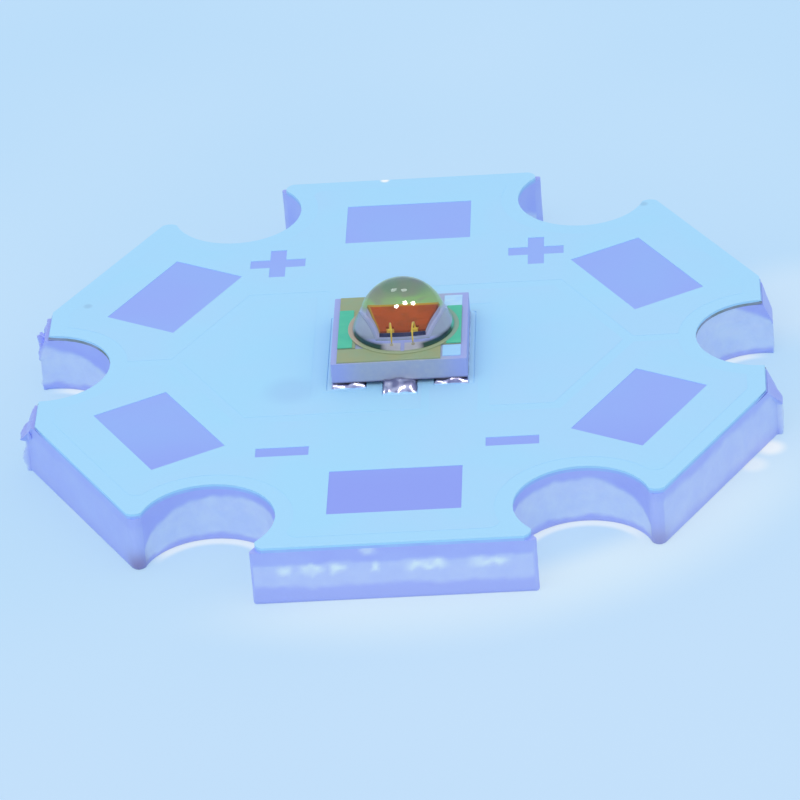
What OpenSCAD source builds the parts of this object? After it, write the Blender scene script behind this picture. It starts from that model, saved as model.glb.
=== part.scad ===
// Six-armed star circuit board on an aluminium core, carrying one ceramic power LED under a clear dome.
// Millimetres. The origin is the centre of the board's underside, +Z is up, and +Y points to the arm
// whose wire pad lies between the two plus marks.

/* [Board] */
// Distance between two opposite straight edges of the star
across_flats = 18.9; // [18.5:0.1:19.4]
// Width between the two snapped-off sides, at the top of the board
scored_width = 18.4; // [18:0.1:18.8]
// How far each snapped-off side slopes outwards below the top
score_run = 0.3; // [0.1:0.05:0.5]
// Depth of the score line that the board was snapped along
score_depth = 0.7; // [0.4:0.05:1]
// Radius of the round screw notches between the arms
notch_r = 1.7; // [1.6:0.05:1.9]
// How far the straight sides of a notch's mouth stand in from its round
notch_lip = 0.04; // [0.02:0.01:0.1]
// Diameter of the circle through the notch centres
notch_circle_d = 18.4; // [18:0.1:18.8]
// Thickness of the aluminium core
base_t = 1.46; // [1:0.02:2]
// Thickness of the insulating layer under the copper
dielectric_t = 0.075; // [0.05:0.005:0.2]
// Thickness of the copper layer
copper_t = 0.035; // [0.03:0.005:0.1]
// Thickness of the solder mask over the copper
mask_t = 0.03; // [0.024:0.002:0.05]
// How much lower the mask lies where there is no copper under it
mask_dip = 0.004; // [0.004:0.002:0.02]

/* [Copper layout] */
// Bare border between the copper and the edge of the board
copper_margin = 0.45; // [0.3:0.05:0.6]
// Width of the gaps between copper areas
copper_gap = 0.3; // [0.2:0.02:0.4]
// Depth of the heat-spreading copper, front to back
spreader_depth = 6.1; // [5.8:0.1:6.4]
// Width of the heat-spreading copper between its slanting edges
spreader_span = 9.8; // [9.2:0.1:10.2]
// Copper border around each land of the package, under the mask
land_border = 0.1; // [0.05:0.01:0.12]

/* [Wire pads] */
// Width of a wire pad along the board's edge
pad_w = 3.3; // [2.8:0.1:3.6]
// Depth of a wire pad, towards the middle of the board
pad_l = 2.05; // [1.7:0.05:2.3]
// Distance from a wire pad to the straight edge outside it
pad_edge = 1.46; // [1.2:0.02:1.7]
// Thickness of the tin on the wire pads and polarity marks
tin_t = 0.02; // [0.01:0.002:0.022]

/* [Polarity marks] */
// Width of the strokes of the marks
mark_stroke = 0.42; // [0.3:0.02:0.5]
// Length of each stroke of a plus mark
plus_size = 1.45; // [1.1:0.05:1.6]
// Sideways distance of a plus mark from the middle of the board
plus_x = 3.4; // [3.2:0.05:3.6]
// Distance of a plus mark behind the middle of the board
plus_y = 5; // [4.8:0.05:5.2]
// Length of a minus mark
minus_l = 1.33; // [1:0.05:1.5]
// Sideways distance of a minus mark from the middle of the board
minus_x = 2.87; // [2.6:0.05:3.1]
// Distance of a minus mark in front of the middle of the board
minus_y = 4.85; // [4.7:0.05:5]

/* [Package] */
// Width and depth of the square ceramic
package_w = 3.45; // [3.35:0.05:3.55]
// Thickness of the ceramic
ceramic_t = 0.55; // [0.4:0.01:0.8]
// Thickness of the metal contacts under the ceramic
contact_t = 0.04; // [0.02:0.01:0.06]
// Distance of the contacts from the edges of the ceramic
contact_inset = 0.075; // [0.05:0.005:0.12]
// Width of the two outer contacts
contact_w = 0.8; // [0.7:0.02:0.84]
// Width of the middle contact, which carries the heat away
thermal_w = 0.9; // [0.8:0.05:1]
// Radius of the metal-filled holes through the ceramic
via_r = 0.1; // [0.06:0.01:0.14]
// Distance of the filled holes from the middle, front to back
via_y = 0.35; // [0.2:0.05:0.4]

/* [Solder] */
// Thickness of the solder between the copper and the contacts
solder_t = 0.09; // [0.06:0.005:0.1]
// How far the outer lands reach past the ceramic at its front and back
land_reach = 0.15; // [0.1:0.01:0.2]
// How far the outer lands reach past the ceramic at its sides
land_side = 0.15; // [0.1:0.01:0.2]
// How far the middle land reaches past the ceramic
thermal_reach = 0.55; // [0.4:0.05:0.65]
// Height of the outer solder fillets over the copper
fillet_h = 0.14; // [0.12:0.01:0.2]
// Height of the middle solder fillet over the copper
thermal_fillet_h = 0.22; // [0.14:0.01:0.3]

/* [Top metal] */
// Thickness of the two metal plates on top of the ceramic
plate_t = 0.03; // [0.02:0.005:0.05]
// Bare ceramic left in front of and behind the top metal
plate_margin = 0.04; // [0.02:0.01:0.1]
// Gap between the two plates
plate_gap = 0.2; // [0.14:0.01:0.22]
// Bare plate left around the die attach metal
plate_edge = 0.05; // [0.03:0.01:0.1]
// Sideways distance at which the legs under the coats start
leg_x = 1.12; // [1:0.01:1.16]
// Width of the slit in front of the chip
slit_w = 0.09; // [0.06:0.01:0.12]
// Distance from the middle of the ceramic to the front end of the slit
slit_end = 1.3; // [1.2:0.01:1.4]
// Length of the coats over the filled holes
coat_l = 1.95; // [1.7:0.05:2]
// Width of the coats over the filled holes
coat_w = 0.37; // [0.3:0.01:0.4]
// Thickness of the coats and of the corner marks
coat_t = 0.02; // [0.01:0.002:0.03]
// Bare ceramic left at the sides of the top metal, and around the coats and corner marks
coat_edge = 0.155; // [0.14:0.005:0.17]
// Width of the two pale corner marks
corner_w = 0.46; // [0.4:0.01:0.5]
// Depth of the two pale corner marks
corner_l = 0.54; // [0.4:0.01:0.56]

/* [Die] */
// Sideways place of the chip and its dome, from the middle of the ceramic
die_x = 0.09; // [0:0.01:0.12]
// Width and depth of the LED chip
chip_w = 1; // [0.9:0.02:1.04]
// Thickness of the LED chip
chip_t = 0.12; // [0.08:0.01:0.2]
// Rim of die attach metal showing around the chip
attach_rim = 0.05; // [0.02:0.01:0.06]
// Thickness of the die attach metal
attach_t = 0.015; // [0.01:0.001:0.02]
// Thickness of the light-converting layer on the chip
layer_t = 0.05; // [0.03:0.005:0.08]
// Sideways distance of the bonds from the middle of the chip
bond_x = 0.25; // [0.18:0.01:0.32]
// Distance of the bonds from the chip's front edge
bond_in = 0.14; // [0.1:0.01:0.2]
// Half the width of the windows in the layer around the bonds
bond_window = 0.08; // [0.06:0.005:0.1]
// Radius of the bond wires
wire_r = 0.02; // [0.012:0.002:0.024]
// Radius of the flattened ball under each wire
ball_r = 0.045; // [0.036:0.001:0.05]
// Height of the flattened ball
ball_h = 0.03; // [0.02:0.005:0.04]
// Distance from the plate's edge to where a wire lands on it
wire_land = 0.12; // [0.1:0.01:0.2]

/* [Lens] */
// Radius of the dome
dome_r = 1.12; // [1.05:0.01:1.18]
// Height of the dome's crown over the top metal
dome_h = 1.32; // [1.26:0.01:1.4]
// How far the dome's foot spreads past the dome's own radius
foot_flare = 0.18; // [0.12:0.01:0.22]
// Height of the dome's foot
foot_h = 0.07; // [0.04:0.01:0.1]
// Width of the thin skirt around the foot
skirt_w = 0.12; // [0.06:0.01:0.16]
// Thickness of the skirt
skirt_t = 0.03; // [0.024:0.002:0.036]

/* [Hidden] */
$fn = 96;

// Extra length of a cutting tool past the face it cuts
past = 1;

// Heights of the layers, from the underside of the board
dielectric_z = base_t;
copper_z = dielectric_z + dielectric_t;
tin_z = copper_z + copper_t;
board_z = tin_z + mask_t;
contact_z = tin_z + solder_t;
ceramic_z = contact_z + contact_t;
plate_z = ceramic_z + ceramic_t;
top_z = plate_z + plate_t;
chip_z = top_z + attach_t;
layer_z = chip_z + chip_t;

// Half sizes and lines that several pieces share
package_half = package_w / 2;
snapped_half = scored_width / 2 + score_run;
pad_in = across_flats / 2 - pad_edge - pad_l;
contact_l = package_w - 2 * contact_inset;
contact_pitch = package_half - contact_inset - contact_w / 2;
land_in = contact_pitch - contact_w / 2;
land_out = package_half + land_side;
land_half = package_half + land_reach;
thermal_half = package_half + thermal_reach;
strip_end = land_half + land_border;
bridge_in = strip_end + copper_gap;
spreader_half = spreader_depth / 2;
wing_in = land_out + land_border + copper_gap;
metal_half = package_half - plate_margin;
coat_out = package_half - coat_edge;
corner_in = coat_out - corner_w;
tongue_half = chip_w / 2 + attach_rim + plate_edge;
front_in = tongue_half + plate_gap;
bond_y = chip_w / 2 - bond_in;
landing_y = front_in + wire_land;
loop_r = (landing_y - bond_y) / 2;

// Radii of the lens, and where the straight flank from its foot touches the dome
foot_r = dome_r + foot_flare;
skirt_r = foot_r + skirt_w;
dome_z = top_z + dome_h - dome_r;
foot_drop = dome_z - top_z - foot_h;
touch_angle = acos(dome_r / norm([foot_r, foot_drop])) - atan2(foot_drop, foot_r);
touch_r = dome_r * cos(touch_angle);
touch_z = dome_z + dome_r * sin(touch_angle);

// A flat rectangle given by two opposite corners
module patch(low, high) {
    translate(low) square(high - low);
}

// Outline of the star, drawn in by an even border, between two side lines
module star(border, side) {
    difference() {
        intersection() {
            circle(r = (across_flats / 2 - border) / cos(30), $fn = 6);
            square([2 * side, 2 * across_flats], center = true);
        }
        for (turn = [0 : 60 : 300]) rotate(turn) translate([notch_circle_d / 2, 0]) {
            circle(r = notch_r + border);
            patch([0, notch_lip - notch_r - border], [across_flats, notch_r + border - notch_lip]);
        }
    }
}

// The two slopes left by the score lines, as a tool that cuts every layer
module score_cut() {
    for (side = [0, 1]) mirror([side, 0, 0]) rotate([90, 0, 0])
        linear_extrude(height = 2 * across_flats, center = true) polygon([
            [scored_width / 2, board_z + past],
            [scored_width / 2, board_z],
            [snapped_half, board_z - score_depth],
            [snapped_half + past, board_z - score_depth],
            [snapped_half + past, board_z + past]
        ]);
}

// One layer of the board's full outline
module board_layer(low, thick) {
    difference() {
        translate([0, 0, low]) linear_extrude(height = thick) star(0, snapped_half);
        score_cut();
    }
}

// The area in the middle of the board that the heat-spreading copper fills
module spreader(border) {
    intersection() {
        circle(r = (spreader_span / 2 + border) / cos(30), $fn = 6);
        square([2 * across_flats, spreader_depth + 2 * border], center = true);
    }
}

// Copper of the plus side: the back half of the ring and the strip to the left land
module positive_outline() {
    difference() {
        intersection() {
            star(copper_margin, scored_width / 2 - copper_margin);
            patch([-across_flats, copper_gap / 2], [across_flats, across_flats]);
        }
        spreader(copper_gap);
    }
    patch([-land_out - land_border, -strip_end],
        [-land_in + land_border, spreader_half + copper_gap + copper_margin]);
}

// One half of the heat-spreading copper: the wing on the right and its bridge behind the package
module wing_outline() {
    intersection() {
        spreader(0);
        union() {
            patch([wing_in, -across_flats], [across_flats, across_flats]);
            patch([0, bridge_in], [across_flats, across_flats]);
        }
    }
}

// Heat-spreading copper: the strip under the package with both wings
module thermal_outline() {
    patch([-thermal_w / 2 - land_border, -spreader_half], [thermal_w / 2 + land_border, spreader_half]);
    wing_outline();
    rotate(180) wing_outline();
}

// All copper on the board; the minus side is the plus side turned half round
module copper_outline() {
    positive_outline();
    rotate(180) positive_outline();
    thermal_outline();
}

// Outline of the wire pad on the arm at this angle
module pad_outline(turn) {
    rotate(turn) patch([pad_in, -pad_w / 2], [pad_in + pad_l, pad_w / 2]);
}

// Outline of the two plus marks
module plus_outline() {
    for (side = [-1, 1]) translate([side * plus_x, plus_y]) {
        square([plus_size, mark_stroke], center = true);
        square([mark_stroke, plus_size], center = true);
    }
}

// Outline of the two minus marks
module minus_outline() {
    for (side = [-1, 1]) translate([side * minus_x, -minus_y])
        square([minus_l, mark_stroke], center = true);
}

// Outline of the left land; the right one mirrors it
module side_land() {
    patch([-land_out, -land_half], [-land_in, land_half]);
}

// Outline of the middle land
module middle_land() {
    square([thermal_w, 2 * thermal_half], center = true);
}

// Every place where the solder mask leaves the copper bare
module mask_openings() {
    for (turn = [30 : 60 : 330]) pad_outline(turn);
    plus_outline();
    minus_outline();
    side_land();
    mirror([1, 0]) side_land();
    middle_land();
}

// A tin layer on the bare copper inside one opening of the mask
module tin() {
    translate([0, 0, tin_z]) linear_extrude(height = tin_t) children();
}

// Rounded end of a solder joint, from the front of the ceramic out to the end of its land
module solder_end(low_x, high_x, reach, height) {
    round_r = (reach * reach + height * height) / (2 * height);
    for (side = [0, 1]) mirror([0, side, 0]) intersection() {
        translate([low_x, -package_half - reach, tin_z]) cube([high_x - low_x, reach, height]);
        translate([low_x - past, -package_half, tin_z + height - round_r])
            rotate([0, 90, 0]) cylinder(r = round_r, h = high_x - low_x + 2 * past);
    }
}

// Solder of the left joint: a slab over its land with a raised end in front of and behind the ceramic
module side_solder() {
    translate([0, 0, tin_z]) linear_extrude(height = solder_t)
        patch([-land_out, -package_half], [-land_in, package_half]);
    solder_end(-land_out, -land_in, land_reach, fillet_h);
}

// One metal contact under the ceramic
module contact(x, width) {
    translate([x - width / 2, -contact_l / 2, contact_z]) cube([width, contact_l, contact_t]);
}

// The two filled holes through the ceramic on one side
module via_pair(x) {
    for (side = [-1, 1]) translate([x, side * via_y, ceramic_z]) cylinder(r = via_r, h = ceramic_t);
}

// A thin layer on top of the ceramic
module top_layer(low, thick) {
    translate([0, 0, low]) linear_extrude(height = thick) children();
}

// One wire: a ball on the chip, a round loop, and a straight leg down to the front plate
module bond_wire(x) {
    translate([x, -bond_y, layer_z]) cylinder(r = ball_r, h = ball_h);
    translate([x, -(bond_y + landing_y) / 2, layer_z + ball_h]) rotate([90, 0, 90])
        rotate_extrude(angle = 180) translate([loop_r, 0]) circle(r = wire_r);
    translate([x, -landing_y, top_z]) cylinder(r = wire_r, h = layer_z + ball_h - top_z);
    translate([x, -landing_y, top_z]) cylinder(r = ball_r, h = ball_h);
}

// Half section of the lens: the dome, its straight flank, its foot and its skirt
module lens_section() {
    intersection() {
        translate([0, dome_z]) circle(r = dome_r);
        patch([0, touch_z], [2 * dome_r, dome_z + 2 * dome_r]);
    }
    polygon([
        [0, top_z],
        [skirt_r, top_z],
        [skirt_r, top_z + skirt_t],
        [foot_r, top_z + skirt_t],
        [foot_r, top_z + foot_h],
        [touch_r, touch_z],
        [0, touch_z]
    ]);
}

// Aluminium core of the board
module aluminium_base() {
    color([0.66, 0.75, 0.98]) board_layer(0, base_t);
}

// Insulating layer between the core and the copper
module dielectric_layer() {
    color([0.70, 0.80, 0.96]) board_layer(dielectric_z, dielectric_t);
}

// Copper that joins the three plus pads to the package's left land
module positive_copper() {
    color([0.72, 0.53, 0.42]) translate([0, 0, copper_z])
        linear_extrude(height = copper_t) positive_outline();
}

// Copper that joins the three minus pads to the package's right land
module negative_copper() {
    color([0.72, 0.53, 0.42]) translate([0, 0, copper_z])
        linear_extrude(height = copper_t) rotate(180) positive_outline();
}

// Copper that spreads the heat from the middle land
module thermal_copper() {
    color([0.72, 0.53, 0.42]) translate([0, 0, copper_z])
        linear_extrude(height = copper_t) thermal_outline();
}

// Solder mask over the copper and in the gaps between its areas
module solder_mask() {
    color([0.65, 0.85, 0.98]) difference() {
        board_layer(copper_z, copper_t + mask_t);
        translate([0, 0, copper_z - past]) linear_extrude(height = copper_t + past) copper_outline();
        translate([0, 0, copper_z]) linear_extrude(height = copper_t + mask_t + past) mask_openings();
        translate([0, 0, board_z - mask_dip]) linear_extrude(height = mask_dip + past) difference() {
            square(2 * across_flats, center = true);
            copper_outline();
        }
    }
}

// Tinned wire pads
module positive_pad_left() { color([0.60, 0.69, 0.98]) tin() pad_outline(150); }
module positive_pad_back() { color([0.60, 0.69, 0.98]) tin() pad_outline(90); }
module positive_pad_right() { color([0.60, 0.69, 0.98]) tin() pad_outline(30); }
module negative_pad_left() { color([0.60, 0.69, 0.98]) tin() pad_outline(210); }
module negative_pad_front() { color([0.60, 0.69, 0.98]) tin() pad_outline(270); }
module negative_pad_right() { color([0.60, 0.69, 0.98]) tin() pad_outline(330); }

// Tinned polarity marks
module plus_marks() { color([0.60, 0.69, 0.98]) tin() plus_outline(); }
module minus_marks() { color([0.60, 0.69, 0.98]) tin() minus_outline(); }

// Solder joints under the package
module anode_solder() { color([0.82, 0.84, 0.95]) side_solder(); }
module cathode_solder() { color([0.82, 0.84, 0.95]) mirror([1, 0, 0]) side_solder(); }
module thermal_solder() {
    color([0.82, 0.84, 0.95]) {
        translate([-thermal_w / 2, -package_half, tin_z]) cube([thermal_w, package_w, solder_t]);
        solder_end(-thermal_w / 2, thermal_w / 2, thermal_reach, thermal_fillet_h);
    }
}

// Metal contacts under the ceramic
module anode_contact() { color([0.75, 0.72, 0.62]) contact(-contact_pitch, contact_w); }
module cathode_contact() { color([0.75, 0.72, 0.62]) contact(contact_pitch, contact_w); }
module thermal_contact() { color([0.75, 0.72, 0.62]) contact(0, thermal_w); }

// Square ceramic with the holes for its filled vias
module ceramic_substrate() {
    color([0.55, 0.61, 0.80]) difference() {
        translate([-package_half, -package_half, ceramic_z]) cube([package_w, package_w, ceramic_t]);
        for (x = [-contact_pitch, contact_pitch], side = [-1, 1])
            translate([x, side * via_y, ceramic_z - past]) cylinder(r = via_r, h = ceramic_t + 2 * past);
    }
}

// Metal in the holes of the ceramic
module anode_vias() { color([0.75, 0.72, 0.62]) via_pair(-contact_pitch); }
module cathode_vias() { color([0.75, 0.72, 0.62]) via_pair(contact_pitch); }

// Plate that carries the chip: a band at the back, a tongue under the chip and the leg under the left coat
module anode_plate() {
    color([0.57, 0.63, 0.49]) top_layer(plate_z, plate_t) {
        patch([-coat_out, chip_w / 2], [leg_x - plate_gap, metal_half]);
        patch([die_x - tongue_half, -tongue_half], [die_x + tongue_half, metal_half]);
        patch([-coat_out, -coat_l / 2], [-leg_x, metal_half]);
    }
}

// Plate that the wires land on: the slit front of the ceramic's top and the leg under the right coat
module cathode_plate() {
    color([0.57, 0.63, 0.49]) top_layer(plate_z, plate_t) difference() {
        union() {
            patch([-coat_out, -metal_half], [corner_in - plate_edge, -coat_l / 2 - plate_edge]);
            patch([plate_gap - leg_x, -metal_half], [corner_in - plate_edge, -front_in]);
            patch([0, -coat_l / 2], [coat_out, -front_in]);
            patch([leg_x, -coat_l / 2], [coat_out, coat_l / 2]);
        }
        patch([die_x - slit_w / 2, -slit_end], [die_x + slit_w / 2, 0]);
    }
}

// Green coats over the filled holes at the left and right
module via_coats() {
    color([0.29, 0.76, 0.63]) for (side = [0, 1]) mirror([side, 0, 0]) top_layer(top_z, coat_t)
        patch([coat_out - coat_w, -coat_l / 2], [coat_out, coat_l / 2]);
}

// Pale marks in the two right corners of the ceramic
module corner_marks() {
    color([0.75, 0.89, 0.99]) for (side = [0, 1]) mirror([0, side, 0]) top_layer(plate_z, coat_t)
        patch([corner_in, coat_out - corner_l], [coat_out, coat_out]);
}

// Metal that bonds the chip to its plate
module die_attach() {
    color([0.72, 0.66, 0.25]) top_layer(top_z, attach_t) translate([die_x, 0])
        square(chip_w + 2 * attach_rim, center = true);
}

// LED chip
module led_chip() {
    color([0.36, 0.36, 0.42]) top_layer(chip_z, chip_t) translate([die_x, 0])
        square(chip_w, center = true);
}

// Orange layer over the chip, with a window around each bond
module conversion_layer() {
    color([0.66, 0.38, 0.20]) top_layer(layer_z, layer_t) translate([die_x, 0]) difference() {
        square(chip_w, center = true);
        for (x = [-bond_x, bond_x])
            patch([x - bond_window, -chip_w / 2 - past], [x + bond_window, -bond_y + bond_window]);
    }
}

// Gold wires from the chip to the front plate
module bond_wire_left() { color([0.86, 0.76, 0.24]) bond_wire(die_x - bond_x); }
module bond_wire_right() { color([0.86, 0.76, 0.24]) bond_wire(die_x + bond_x); }

// Clear dome moulded over the chip, its wires and the edges of the coats
module lens_dome() {
    color([0.62, 0.68, 0.72, 0.5]) difference() {
        translate([die_x, 0, 0]) rotate_extrude() lens_section();
        via_coats();
        die_attach();
        led_chip();
        conversion_layer();
        bond_wire_left();
        bond_wire_right();
    }
}

aluminium_base();
dielectric_layer();
positive_copper();
negative_copper();
thermal_copper();
solder_mask();
positive_pad_left();
positive_pad_back();
positive_pad_right();
negative_pad_left();
negative_pad_front();
negative_pad_right();
plus_marks();
minus_marks();
anode_solder();
cathode_solder();
thermal_solder();
anode_contact();
cathode_contact();
thermal_contact();
ceramic_substrate();
anode_vias();
cathode_vias();
anode_plate();
cathode_plate();
via_coats();
corner_marks();
die_attach();
led_chip();
conversion_layer();
bond_wire_left();
bond_wire_right();
lens_dome();
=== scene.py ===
# %% [markdown]
# A star board with one power LED
#
# This lesson dresses a small circuit board. The construction is already there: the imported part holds
# every piece at its real size, in metres. What is left is the looks: punched and snapped metal edges, a
# pale mask, tinned pads, shiny solder, and a clear dome that bends the view of the chip under it.

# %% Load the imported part
import math

import bmesh
import bpy
from mathutils import Matrix, Vector, noise


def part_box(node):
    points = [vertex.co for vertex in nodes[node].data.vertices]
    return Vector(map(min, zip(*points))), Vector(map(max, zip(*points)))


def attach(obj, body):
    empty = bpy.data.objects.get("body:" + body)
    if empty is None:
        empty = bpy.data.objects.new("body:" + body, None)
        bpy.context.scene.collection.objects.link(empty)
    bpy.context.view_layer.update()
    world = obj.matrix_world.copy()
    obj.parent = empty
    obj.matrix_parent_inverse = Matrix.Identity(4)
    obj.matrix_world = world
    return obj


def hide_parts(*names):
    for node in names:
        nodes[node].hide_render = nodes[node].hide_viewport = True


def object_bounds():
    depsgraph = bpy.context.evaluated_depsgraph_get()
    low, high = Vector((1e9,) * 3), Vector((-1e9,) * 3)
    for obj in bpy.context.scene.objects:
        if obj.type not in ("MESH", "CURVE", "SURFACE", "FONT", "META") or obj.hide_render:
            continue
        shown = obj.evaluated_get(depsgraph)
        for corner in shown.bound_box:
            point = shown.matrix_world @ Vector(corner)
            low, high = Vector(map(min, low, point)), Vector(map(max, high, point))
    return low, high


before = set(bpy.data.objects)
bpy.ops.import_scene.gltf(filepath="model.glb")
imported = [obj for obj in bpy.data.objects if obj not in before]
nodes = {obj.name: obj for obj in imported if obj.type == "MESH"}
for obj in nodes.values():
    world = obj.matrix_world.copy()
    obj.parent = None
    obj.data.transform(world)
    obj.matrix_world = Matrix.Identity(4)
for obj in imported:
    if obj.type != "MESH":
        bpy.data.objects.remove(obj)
cad_low, cad_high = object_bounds()
scene = bpy.context.scene
scene.view_settings.view_transform = "Standard"
MM = 0.001
cad_size = [round((high - low) / MM, 2) for low, high in zip(cad_low, cad_high)]
print("nodes:", len(nodes), "size in mm:", cad_size)

# %% [markdown]
# The camera
#
# The picture was taken from close to the front, about 29 degrees above the table, with a long lens that
# keeps opposite edges almost parallel. The camera could be dragged into place by eye. Angles around the
# middle of the board's top are easier to read and to change: a turn, a height and a small roll. It aims
# just in front of the middle, so that its lens needs no shift.

# %% Camera
view_turn = math.radians(3.78)
view_height = math.radians(29.16)
view_roll = math.radians(-4.75)
view_distance = 149.4 * MM
aim_right = -0.05 * MM
aim_up = -1.27 * MM
board_top = Vector((0, 0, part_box("solder_mask")[1].z))


def toward(turn, height):
    """The direction at this angle to the right of the front and this angle above the table."""
    level = math.cos(height)
    return Vector((math.sin(turn) * level, -math.cos(turn) * level, math.sin(height)))


view_back = toward(view_turn, view_height)
level_right = Vector((math.cos(view_turn), math.sin(view_turn), 0))
level_up = view_back.cross(level_right)
view_right = level_right * math.cos(view_roll) + level_up * math.sin(view_roll)
view_up = level_up * math.cos(view_roll) - level_right * math.sin(view_roll)

camera_place = board_top + view_back * view_distance
aim = board_top + view_right * aim_right + view_up * aim_up
look_back = (camera_place - aim).normalized()
look_right = view_up.cross(look_back).normalized()
look_up = look_back.cross(look_right)

camera_data = bpy.data.cameras.new("camera")
camera_data.lens = 263.2
camera_data.clip_start = 1 * MM
camera = bpy.data.objects.new("camera", camera_data)
facing = Matrix((look_right, look_up, look_back)).transposed().to_4x4()
camera.matrix_world = Matrix.Translation(camera_place) @ facing
scene.collection.objects.link(camera)
scene.camera = camera
print("camera at", [round(value / MM, 1) for value in camera_place])

# %% [markdown]
# Node helpers
#
# Materials and geometry are both trees of nodes. They could be built node by node, with a line for each
# link. One helper does that here: it adds a node, sets its options, and then fills each input with a plain
# value or links it to another node's output. Colours are written as they look on a screen, from 0 to 255,
# and turned into the linear values that Blender works in.

# %% Helpers for nodes and colours
def fill(tree, socket, value):
    """Link a socket to another socket, or set it to a plain value."""
    if isinstance(value, bpy.types.NodeSocket):
        tree.links.new(value, socket)
    else:
        socket.default_value = value


def step(tree, kind, inputs=None, **options):
    """Add one node to a tree; an input is given by its name or number, as a value or another socket."""
    made = tree.nodes.new(kind)
    for name, value in options.items():
        setattr(made, name, value)
    for key, value in (inputs or {}).items():
        fill(tree, made.inputs[key], value)
    return made


def tone(red, green, blue):
    """A screen colour as the linear colour of a shader's socket."""
    def linear(level):
        level /= 255
        return level / 12.92 if level <= 0.04045 else ((level + 0.055) / 1.055) ** 2.4
    return (linear(red), linear(green), linear(blue), 1)


def finish(name, roughness, metallic=0.0, **sockets):
    """A material with these constant values set on its shader's own sockets."""
    material = bpy.data.materials.new(name)
    material.use_nodes = True
    shader = material.node_tree.nodes["Principled BSDF"]
    shader.inputs["Roughness"].default_value = roughness
    shader.inputs["Metallic"].default_value = metallic
    for socket, value in sockets.items():
        shader.inputs[socket.replace("_", " ")].default_value = value
    return material, material.node_tree, shader


def paint(tree, shader, colour):
    """Give a shader its colour, from a socket or as a plain value."""
    fill(tree, shader.inputs["Base Color"], colour)


print("node helpers ready")

# %% Helpers that read the surface
def place(tree):
    """The point of the surface in the part's own frame, in metres."""
    return step(tree, "ShaderNodeTexCoord").outputs["Object"]


def axes(tree):
    """The point of the surface as three values."""
    return step(tree, "ShaderNodeSeparateXYZ", {0: place(tree)}).outputs


def patches(tree, size, detail=3.0):
    """A value that wanders between 0 and 1 over patches of about this size."""
    return step(tree, "ShaderNodeTexNoise",
                {"Vector": place(tree), "Scale": 1 / size, "Detail": detail}).outputs[0]


def calc(tree, operation, first, second=0.0, third=0.0):
    """One step of arithmetic on values."""
    return step(tree, "ShaderNodeMath", {0: first, 1: second, 2: third}, operation=operation).outputs[0]


def times(tree, first, *others):
    """The product of values."""
    for other in others:
        first = calc(tree, "MULTIPLY", first, other)
    return first


def span(tree, first, second):
    """The distance over two sides of a right angle."""
    squares = calc(tree, "ADD", times(tree, first, first), times(tree, second, second))
    return calc(tree, "POWER", squares, 0.5)


def rise(tree, value, low, high):
    """0 below low, 1 above high, and a soft rise between them; it falls instead where low is above high."""
    return step(tree, "ShaderNodeMapRange", {0: value, 1: low, 2: high},
                interpolation_type="SMOOTHSTEP").outputs[0]


def spot(tree, centre, width):
    """1 at a point of the part and 0 from this far away."""
    gone = step(tree, "ShaderNodeVectorMath", {0: place(tree), 1: centre}, operation="DISTANCE")
    return rise(tree, gone.outputs["Value"], width, width * 0.3)


print("surface helpers ready")

# %% Helpers that give colour and grain
def ramp(tree, value, *stops):
    """Colours along a value: each stop is a position and a colour."""
    made = step(tree, "ShaderNodeValToRGB", {0: value})
    stripe = made.color_ramp.elements
    while len(stripe) < len(stops):
        stripe.new(0.5)
    for element, (position, colour) in zip(stripe, stops):
        element.position = position
        element.color = colour
    return made.outputs[0]


def blend(tree, share, under, over):
    """The colour over laid on the colour under by a share from 0 to 1."""
    made = step(tree, "ShaderNodeMix", data_type="RGBA")
    for socket, value in ((made.inputs[0], share), (made.inputs[6], under), (made.inputs[7], over)):
        fill(tree, socket, value)
    return made.outputs[2]


def grain(tree, shader, size, height, detail=2.0):
    """A fine unevenness of the surface: bumps of this size and height."""
    bump = step(tree, "ShaderNodeBump",
                {"Height": patches(tree, size, detail), "Distance": height, "Strength": 1.0})
    tree.links.new(bump.outputs[0], shader.inputs["Normal"])


def mottled(name, roughness, metallic, size, dark, light):
    """A finish whose colour wanders between two tones over patches of this size."""
    material, tree, shader = finish(name, roughness, metallic)
    paint(tree, shader, ramp(tree, patches(tree, size), (0.3, dark), (0.7, light)))
    return material


def wear(name, material):
    """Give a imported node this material."""
    nodes[name].data.materials.clear()
    nodes[name].data.materials.append(material)


print("colour helpers ready")

# %% [markdown]
# The table
#
# The board lies on a pale blue table. Its metal edges throw light back, which makes the table paler in front
# of the board, inside the notches and in a few spots at the right. Bounced light could make such patches,
# but under an even sky it is too weak, so they are painted: by distance and bearing from the board's middle,
# with the bearing folded so that one formula serves all six notches.

# %% Table
floor_half = 600 * MM
floor_mesh = bpy.data.meshes.new("floor")
floor_corners = [(-floor_half, -floor_half, 0), (floor_half, -floor_half, 0),
                 (floor_half, floor_half, 0), (-floor_half, floor_half, 0)]
floor_mesh.from_pydata(floor_corners, [], [(0, 1, 2, 3)])
floor = bpy.data.objects.new("floor", floor_mesh)
scene.collection.objects.link(floor)
print("floor half width in mm:", round(floor_half / MM))

# %% Tones of the table
floor_finish, tree, shader = finish("table", 0.9, Specular_IOR_Level=0.0)
drift = ramp(tree, patches(tree, 14 * MM, 1.0), (0.3, tone(186, 221, 250)), (0.7, tone(192, 224, 251)))
floor_x, floor_y = axes(tree)[:2]
reach = step(tree, "ShaderNodeVectorMath", {0: place(tree)}, operation="LENGTH").outputs["Value"]

# Painted light: the table is paler in front of the board, as light thrown back by its edges.
to_front = calc(tree, "SUBTRACT", times(tree, floor_x, 0.3), floor_y)
painted_front_light = times(tree, rise(tree, to_front, 2 * MM, 16 * MM), 0.6)
table_tone = blend(tree, painted_front_light, drift, tone(199, 225, 251))

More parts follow.
